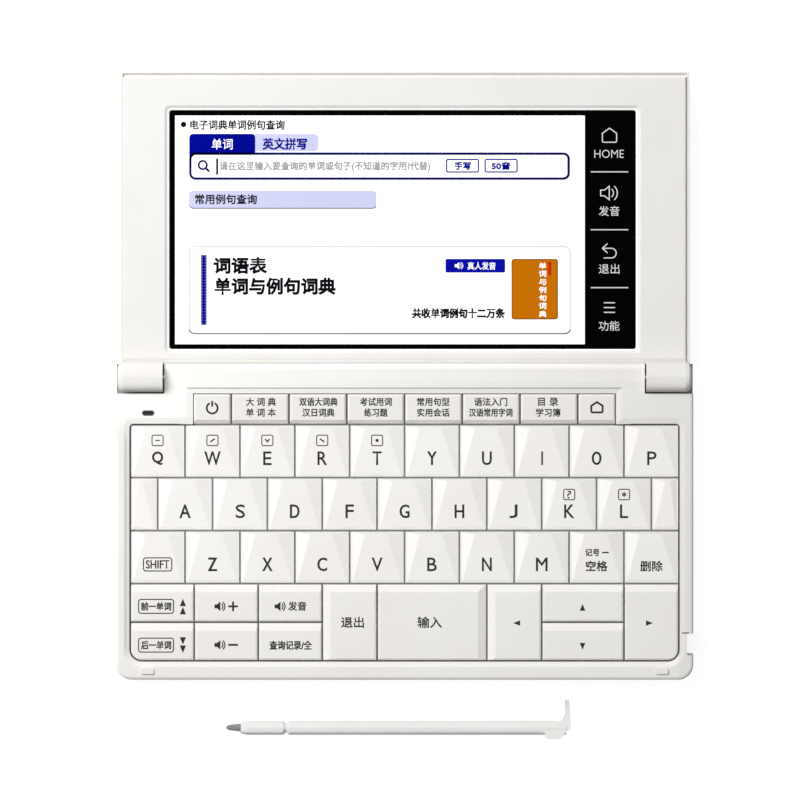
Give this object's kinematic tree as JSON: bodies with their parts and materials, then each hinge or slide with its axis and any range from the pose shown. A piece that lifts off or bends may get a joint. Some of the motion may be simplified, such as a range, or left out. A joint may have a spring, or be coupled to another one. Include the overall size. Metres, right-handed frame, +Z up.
{
  "type": "electronic dictionary",
  "caption": "Clamshell electronic dictionary opened flat: touch screen in the lid, faceted keyboard in the base, pull-out stylus laid in front.",
  "frame": {"origin": "on the table, under the middle of the base (midway between its front edge and the hinge axis)", "axes": "+Z up, +Y from the user towards the hinge, +X to the right; the lid is stored opened flat by 180 degrees"},
  "size_m": [0.1486, 0.1723, 0.0134],
  "materials": {
    "case": "pearl white, satin",
    "bezel": "pearl white, satin",
    "keycap": "pearl white, fine satin",
    "glass": "black-bordered touch glass",
    "display": "sheet metal tray with light guide",
    "steel": "nickel plated",
    "rubber": "soft grey rubber",
    "mat": "grey silicone",
    "board": "green solder resist",
    "battery": "foil pouch",
    "sound": "black",
    "stylus": "white, satin",
    "stylus_tip": "grey, smooth"
  },
  "bodies": {
    "base": {"base_top_frame": "case", "base_lower_shell": "case", "battery_pack": "battery", "main_board": "board", "key_mat": "mat", "speaker_and_microphone": "sound", "rubber_feet": "rubber", "screws": "steel"},
    "lid": {"lid_outer_cover": "case", "lid_bezel": "bezel", "touch_glass": "glass", "display_module": "display", "hinge_pins": "steel"},
    "battery_door": {"battery_cover": "case"},
    "stylus_pen": {"stylus": "stylus", "stylus_tip": "stylus_tip"},
    "key_a_body": {"key_a": "keycap"},
    "key_b_body": {"key_b": "keycap"},
    "key_back_body": {"key_back": "keycap"},
    "key_c_body": {"key_c": "keycap"},
    "key_d_body": {"key_d": "keycap"},
    "key_delete_body": {"key_delete": "keycap"},
    "key_down_body": {"key_down": "keycap"},
    "key_e_body": {"key_e": "keycap"},
    "key_enter_body": {"key_enter": "keycap"},
    "key_f_body": {"key_f": "keycap"},
    "key_g_body": {"key_g": "keycap"},
    "key_h_body": {"key_h": "keycap"},
    "key_history_body": {"key_history": "keycap"},
    "key_home_body": {"key_home": "keycap"},
    "key_i_body": {"key_i": "keycap"},
    "key_j_body": {"key_j": "keycap"},
    "key_k_body": {"key_k": "keycap"},
    "key_l_body": {"key_l": "keycap"},
    "key_left_body": {"key_left": "keycap"},
    "key_m_body": {"key_m": "keycap"},
    "key_n_body": {"key_n": "keycap"},
    "key_next_body": {"key_next": "keycap"},
    "key_o_body": {"key_o": "keycap"},
    "key_p_body": {"key_p": "keycap"},
    "key_power_body": {"key_power": "keycap"},
    "key_previous_body": {"key_previous": "keycap"},
    "key_q_body": {"key_q": "keycap"},
    "key_r_body": {"key_r": "keycap"},
    "key_right_body": {"key_right": "keycap"},
    "key_s_body": {"key_s": "keycap"},
    "key_shift_body": {"key_shift": "keycap"},
    "key_space_body": {"key_space": "keycap"},
    "key_t_body": {"key_t": "keycap"},
    "key_u_body": {"key_u": "keycap"},
    "key_up_body": {"key_up": "keycap"},
    "key_v_body": {"key_v": "keycap"},
    "key_voice_body": {"key_voice": "keycap"},
    "key_volume_down_body": {"key_volume_down": "keycap"},
    "key_volume_up_body": {"key_volume_up": "keycap"},
    "key_w_body": {"key_w": "keycap"},
    "key_x_body": {"key_x": "keycap"},
    "key_y_body": {"key_y": "keycap"},
    "key_z_body": {"key_z": "keycap"},
    "function_keys_body": {"function_keys": "keycap"}
  },
  "joints": [
    {"name": "lid_hinge", "type": "hinge", "parent": "base", "child": "lid", "pos_m": [0, 0.039, 0.00955], "axis": [1, 0, 0], "range_deg": [0, 180]},
    {"name": "battery_cover_slide", "type": "slide", "parent": "base", "child": "battery_door", "axis": [0, 1, 0], "range_m": [0, 0.045]},
    {"name": "stylus_pick_up", "type": "slide", "parent": "base", "child": "stylus_pen", "axis": [0, 0, 1], "range_m": [0, 0.06]},
    {"name": "key_a_press", "type": "slide", "parent": "base", "child": "key_a_body", "axis": [0, 0, 1], "range_m": [-0.0008, 0], "stiffness_N_per_m": 500, "springref_m": 0.0003, "deforming": ["key_mat"]},
    {"name": "key_b_press", "type": "slide", "parent": "base", "child": "key_b_body", "axis": [0, 0, 1], "range_m": [-0.0008, 0], "stiffness_N_per_m": 500, "springref_m": 0.0003, "deforming": ["key_mat"]},
    {"name": "key_back_press", "type": "slide", "parent": "base", "child": "key_back_body", "axis": [0, 0, 1], "range_m": [-0.0008, 0], "stiffness_N_per_m": 500, "springref_m": 0.0003, "deforming": ["key_mat"]},
    {"name": "key_c_press", "type": "slide", "parent": "base", "child": "key_c_body", "axis": [0, 0, 1], "range_m": [-0.0008, 0], "stiffness_N_per_m": 500, "springref_m": 0.0003, "deforming": ["key_mat"]},
    {"name": "key_d_press", "type": "slide", "parent": "base", "child": "key_d_body", "axis": [0, 0, 1], "range_m": [-0.0008, 0], "stiffness_N_per_m": 500, "springref_m": 0.0003, "deforming": ["key_mat"]},
    {"name": "key_delete_press", "type": "slide", "parent": "base", "child": "key_delete_body", "axis": [0, 0, 1], "range_m": [-0.0008, 0], "stiffness_N_per_m": 500, "springref_m": 0.0003, "deforming": ["key_mat"]},
    {"name": "key_down_press", "type": "slide", "parent": "base", "child": "key_down_body", "axis": [0, 0, 1], "range_m": [-0.0008, 0], "stiffness_N_per_m": 500, "springref_m": 0.0003, "deforming": ["key_mat"]},
    {"name": "key_e_press", "type": "slide", "parent": "base", "child": "key_e_body", "axis": [0, 0, 1], "range_m": [-0.0008, 0], "stiffness_N_per_m": 500, "springref_m": 0.0003, "deforming": ["key_mat"]},
    {"name": "key_enter_press", "type": "slide", "parent": "base", "child": "key_enter_body", "axis": [0, 0, 1], "range_m": [-0.0008, 0], "stiffness_N_per_m": 500, "springref_m": 0.0003, "deforming": ["key_mat"]},
    {"name": "key_f_press", "type": "slide", "parent": "base", "child": "key_f_body", "axis": [0, 0, 1], "range_m": [-0.0008, 0], "stiffness_N_per_m": 500, "springref_m": 0.0003, "deforming": ["key_mat"]},
    {"name": "key_g_press", "type": "slide", "parent": "base", "child": "key_g_body", "axis": [0, 0, 1], "range_m": [-0.0008, 0], "stiffness_N_per_m": 500, "springref_m": 0.0003, "deforming": ["key_mat"]},
    {"name": "key_h_press", "type": "slide", "parent": "base", "child": "key_h_body", "axis": [0, 0, 1], "range_m": [-0.0008, 0], "stiffness_N_per_m": 500, "springref_m": 0.0003, "deforming": ["key_mat"]},
    {"name": "key_history_press", "type": "slide", "parent": "base", "child": "key_history_body", "axis": [0, 0, 1], "range_m": [-0.0008, 0], "stiffness_N_per_m": 500, "springref_m": 0.0003, "deforming": ["key_mat"]},
    {"name": "key_home_press", "type": "slide", "parent": "base", "child": "key_home_body", "axis": [0, 0, 1], "range_m": [-0.0008, 0], "stiffness_N_per_m": 500, "springref_m": 0.0003, "deforming": ["key_mat"]},
    {"name": "key_i_press", "type": "slide", "parent": "base", "child": "key_i_body", "axis": [0, 0, 1], "range_m": [-0.0008, 0], "stiffness_N_per_m": 500, "springref_m": 0.0003, "deforming": ["key_mat"]},
    {"name": "key_j_press", "type": "slide", "parent": "base", "child": "key_j_body", "axis": [0, 0, 1], "range_m": [-0.0008, 0], "stiffness_N_per_m": 500, "springref_m": 0.0003, "deforming": ["key_mat"]},
    {"name": "key_k_press", "type": "slide", "parent": "base", "child": "key_k_body", "axis": [0, 0, 1], "range_m": [-0.0008, 0], "stiffness_N_per_m": 500, "springref_m": 0.0003, "deforming": ["key_mat"]},
    {"name": "key_l_press", "type": "slide", "parent": "base", "child": "key_l_body", "axis": [0, 0, 1], "range_m": [-0.0008, 0], "stiffness_N_per_m": 500, "springref_m": 0.0003, "deforming": ["key_mat"]},
    {"name": "key_left_press", "type": "slide", "parent": "base", "child": "key_left_body", "axis": [0, 0, 1], "range_m": [-0.0008, 0], "stiffness_N_per_m": 500, "springref_m": 0.0003, "deforming": ["key_mat"]},
    {"name": "key_m_press", "type": "slide", "parent": "base", "child": "key_m_body", "axis": [0, 0, 1], "range_m": [-0.0008, 0], "stiffness_N_per_m": 500, "springref_m": 0.0003, "deforming": ["key_mat"]},
    {"name": "key_n_press", "type": "slide", "parent": "base", "child": "key_n_body", "axis": [0, 0, 1], "range_m": [-0.0008, 0], "stiffness_N_per_m": 500, "springref_m": 0.0003, "deforming": ["key_mat"]},
    {"name": "key_next_press", "type": "slide", "parent": "base", "child": "key_next_body", "axis": [0, 0, 1], "range_m": [-0.0008, 0], "stiffness_N_per_m": 500, "springref_m": 0.0003, "deforming": ["key_mat"]},
    {"name": "key_o_press", "type": "slide", "parent": "base", "child": "key_o_body", "axis": [0, 0, 1], "range_m": [-0.0008, 0], "stiffness_N_per_m": 500, "springref_m": 0.0003, "deforming": ["key_mat"]},
    {"name": "key_p_press", "type": "slide", "parent": "base", "child": "key_p_body", "axis": [0, 0, 1], "range_m": [-0.0008, 0], "stiffness_N_per_m": 500, "springref_m": 0.0003, "deforming": ["key_mat"]},
    {"name": "key_power_press", "type": "slide", "parent": "base", "child": "key_power_body", "axis": [0, 0, 1], "range_m": [-0.0008, 0], "stiffness_N_per_m": 500, "springref_m": 0.0003, "deforming": ["key_mat"]},
    {"name": "key_previous_press", "type": "slide", "parent": "base", "child": "key_previous_body", "axis": [0, 0, 1], "range_m": [-0.0008, 0], "stiffness_N_per_m": 500, "springref_m": 0.0003, "deforming": ["key_mat"]},
    {"name": "key_q_press", "type": "slide", "parent": "base", "child": "key_q_body", "axis": [0, 0, 1], "range_m": [-0.0008, 0], "stiffness_N_per_m": 500, "springref_m": 0.0003, "deforming": ["key_mat"]},
    {"name": "key_r_press", "type": "slide", "parent": "base", "child": "key_r_body", "axis": [0, 0, 1], "range_m": [-0.0008, 0], "stiffness_N_per_m": 500, "springref_m": 0.0003, "deforming": ["key_mat"]},
    {"name": "key_right_press", "type": "slide", "parent": "base", "child": "key_right_body", "axis": [0, 0, 1], "range_m": [-0.0008, 0], "stiffness_N_per_m": 500, "springref_m": 0.0003, "deforming": ["key_mat"]},
    {"name": "key_s_press", "type": "slide", "parent": "base", "child": "key_s_body", "axis": [0, 0, 1], "range_m": [-0.0008, 0], "stiffness_N_per_m": 500, "springref_m": 0.0003, "deforming": ["key_mat"]},
    {"name": "key_shift_press", "type": "slide", "parent": "base", "child": "key_shift_body", "axis": [0, 0, 1], "range_m": [-0.0008, 0], "stiffness_N_per_m": 500, "springref_m": 0.0003, "deforming": ["key_mat"]},
    {"name": "key_space_press", "type": "slide", "parent": "base", "child": "key_space_body", "axis": [0, 0, 1], "range_m": [-0.0008, 0], "stiffness_N_per_m": 500, "springref_m": 0.0003, "deforming": ["key_mat"]},
    {"name": "key_t_press", "type": "slide", "parent": "base", "child": "key_t_body", "axis": [0, 0, 1], "range_m": [-0.0008, 0], "stiffness_N_per_m": 500, "springref_m": 0.0003, "deforming": ["key_mat"]},
    {"name": "key_u_press", "type": "slide", "parent": "base", "child": "key_u_body", "axis": [0, 0, 1], "range_m": [-0.0008, 0], "stiffness_N_per_m": 500, "springref_m": 0.0003, "deforming": ["key_mat"]},
    {"name": "key_up_press", "type": "slide", "parent": "base", "child": "key_up_body", "axis": [0, 0, 1], "range_m": [-0.0008, 0], "stiffness_N_per_m": 500, "springref_m": 0.0003, "deforming": ["key_mat"]},
    {"name": "key_v_press", "type": "slide", "parent": "base", "child": "key_v_body", "axis": [0, 0, 1], "range_m": [-0.0008, 0], "stiffness_N_per_m": 500, "springref_m": 0.0003, "deforming": ["key_mat"]},
    {"name": "key_voice_press", "type": "slide", "parent": "base", "child": "key_voice_body", "axis": [0, 0, 1], "range_m": [-0.0008, 0], "stiffness_N_per_m": 500, "springref_m": 0.0003, "deforming": ["key_mat"]},
    {"name": "key_volume_down_press", "type": "slide", "parent": "base", "child": "key_volume_down_body", "axis": [0, 0, 1], "range_m": [-0.0008, 0], "stiffness_N_per_m": 500, "springref_m": 0.0003, "deforming": ["key_mat"]},
    {"name": "key_volume_up_press", "type": "slide", "parent": "base", "child": "key_volume_up_body", "axis": [0, 0, 1], "range_m": [-0.0008, 0], "stiffness_N_per_m": 500, "springref_m": 0.0003, "deforming": ["key_mat"]},
    {"name": "key_w_press", "type": "slide", "parent": "base", "child": "key_w_body", "axis": [0, 0, 1], "range_m": [-0.0008, 0], "stiffness_N_per_m": 500, "springref_m": 0.0003, "deforming": ["key_mat"]},
    {"name": "key_x_press", "type": "slide", "parent": "base", "child": "key_x_body", "axis": [0, 0, 1], "range_m": [-0.0008, 0], "stiffness_N_per_m": 500, "springref_m": 0.0003, "deforming": ["key_mat"]},
    {"name": "key_y_press", "type": "slide", "parent": "base", "child": "key_y_body", "axis": [0, 0, 1], "range_m": [-0.0008, 0], "stiffness_N_per_m": 500, "springref_m": 0.0003, "deforming": ["key_mat"]},
    {"name": "key_z_press", "type": "slide", "parent": "base", "child": "key_z_body", "axis": [0, 0, 1], "range_m": [-0.0008, 0], "stiffness_N_per_m": 500, "springref_m": 0.0003, "deforming": ["key_mat"]},
    {"name": "function_keys_press", "type": "slide", "parent": "base", "child": "function_keys_body", "axis": [0, 0, 1], "range_m": [-0.0008, 0], "stiffness_N_per_m": 500, "springref_m": 0.0003, "deforming": ["key_mat"]}
  ]
}
